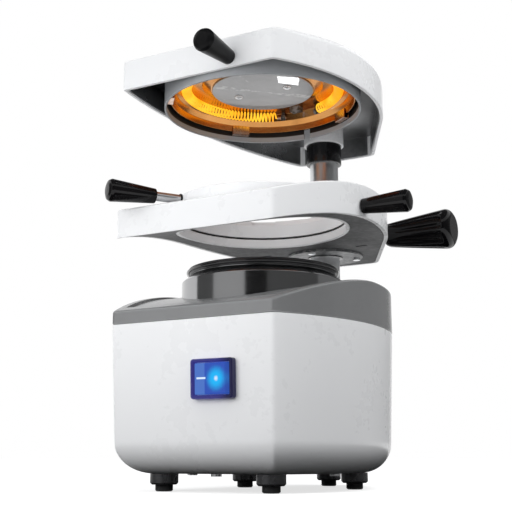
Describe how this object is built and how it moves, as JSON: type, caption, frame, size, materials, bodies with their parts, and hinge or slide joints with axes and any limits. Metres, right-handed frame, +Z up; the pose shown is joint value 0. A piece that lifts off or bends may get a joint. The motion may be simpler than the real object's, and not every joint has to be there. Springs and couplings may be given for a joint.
{
  "type": "dental vacuum former",
  "caption": "Benchtop vacuum former with a switched motor base, a sheet clamping frame that slides on a column and a round heater head that swings above it.",
  "frame": {"origin": "axis of the vacuum chamber at the level of the surface it stands on", "axes": "+X to the user's right along the front facet, +Y to the column and the back, +Z up"},
  "size_m": [0.1842, 0.2581, 0.29],
  "materials": {
    "white_paint": "satin sprayed paint, light orange peel",
    "cover_grey": "fine grained grey plastic",
    "plate_steel": "grey sprayed sheet steel",
    "zinc_screws": "zinc plated",
    "rubber": "matt rubber",
    "switch_black": "moulded, slightly glossy",
    "lit_lens": "translucent blue lens, lit",
    "motor_steel": "plain sheet steel",
    "chamber_satin": "satin dark anodised",
    "platform_gloss": "gloss black enamel",
    "plate_satin": "satin sheet",
    "cast_socket": "machined casting",
    "chrome_tube": "polished chrome",
    "plug_steel": "turned",
    "bush_black": "acetal",
    "bush_plate_grey": "grey sprayed steel",
    "brass": "turned",
    "nylon": "natural nylon",
    "grip_black": "phenolic, polished",
    "lining_dark": "dark sheet lining",
    "shroud_grey": "light grey satin",
    "reflector_bright": "polished",
    "clip_steel": "bright",
    "hot_wire": "heating alloy wire, glowing in use",
    "insulator_dark": "dark ceramic",
    "ceramic": "unglazed ceramic"
  },
  "bodies": {
    "base": {"body_shell": "white_paint", "top_cover": "cover_grey", "floor_plate": "plate_steel", "floor_screws": "zinc_screws", "feet": "cover_grey", "foot_tips": "rubber", "foot_screws": "zinc_screws", "switch_housing": "switch_black", "mains_inlet": "switch_black", "fuse_holder": "switch_black", "motor_can": "motor_steel", "fan_housing": "motor_steel", "motor_seal": "rubber", "motor_pad": "rubber", "vacuum_chamber": "chamber_satin", "chamber_screws": "zinc_screws", "platform": "platform_gloss", "perforated_plate": "plate_satin", "platform_gasket": "rubber", "column_socket": "cast_socket", "socket_screws": "zinc_screws", "column": "chrome_tube", "column_plug": "plug_steel", "pivot_screw": "zinc_screws"},
    "rocker": {"switch_rocker": "lit_lens"},
    "rotor": {"impeller": "motor_steel", "motor_shaft": "motor_steel"},
    "carriage": {"frame_shell": "white_paint", "frame_underplate": "plate_steel", "sheet_gasket": "rubber", "slide_bush": "bush_black", "bush_plate": "bush_plate_grey", "bush_plate_screws": "zinc_screws", "right_grip": "grip_black", "right_grip_stud": "zinc_screws", "lock_insert": "brass"},
    "clamp": {"clamp_ring": "white_paint", "handle_stem": "chrome_tube", "left_grip": "grip_black"},
    "lock": {"lock_knob": "grip_black", "lock_screw": "zinc_screws", "lock_pad": "nylon"},
    "head": {"head_shell": "white_paint", "head_lining": "lining_dark", "heater_shroud": "shroud_grey", "reflector": "reflector_bright", "reflector_clips": "clip_steel", "heating_coil": "hot_wire", "coil_terminals": "clip_steel", "terminal_insulators": "insulator_dark", "ceramic_block": "ceramic", "centre_plate": "plate_satin", "centre_screws": "zinc_screws", "head_bush": "bush_black", "pivot_cap": "white_paint", "head_grip": "grip_black", "head_grip_stud": "zinc_screws"}
  },
  "joints": [
    {"name": "rocker_tilt", "type": "hinge", "parent": "base", "child": "rocker", "pos_m": [0.007, -0.07214, 0.06725], "axis": [0, -0.0366, 0.9993], "range_deg": [0, 10]},
    {"name": "fan_spin", "type": "hinge", "parent": "base", "child": "rotor", "pos_m": [0, 0, 0.05], "axis": [0, 0, 1], "continuous": true},
    {"name": "carriage_slide", "type": "slide", "parent": "base", "child": "carriage", "axis": [0, 0, 1], "range_m": [-0.034, 0.045]},
    {"name": "clamp_turn", "type": "hinge", "parent": "carriage", "child": "clamp", "pos_m": [0, 0, 0.187], "axis": [0, 0, 1], "range_deg": [0, 28]},
    {"name": "lock_turn", "type": "hinge", "parent": "carriage", "child": "lock", "pos_m": [0.05, 0.1024, 0.1855], "axis": [1, 0, 0], "range_deg": [0, 180]},
    {"name": "head_swing", "type": "hinge", "parent": "base", "child": "head", "pos_m": [0, 0.1024, 0.26], "axis": [0, 0, 1], "range_deg": [0, 110]}
  ]
}
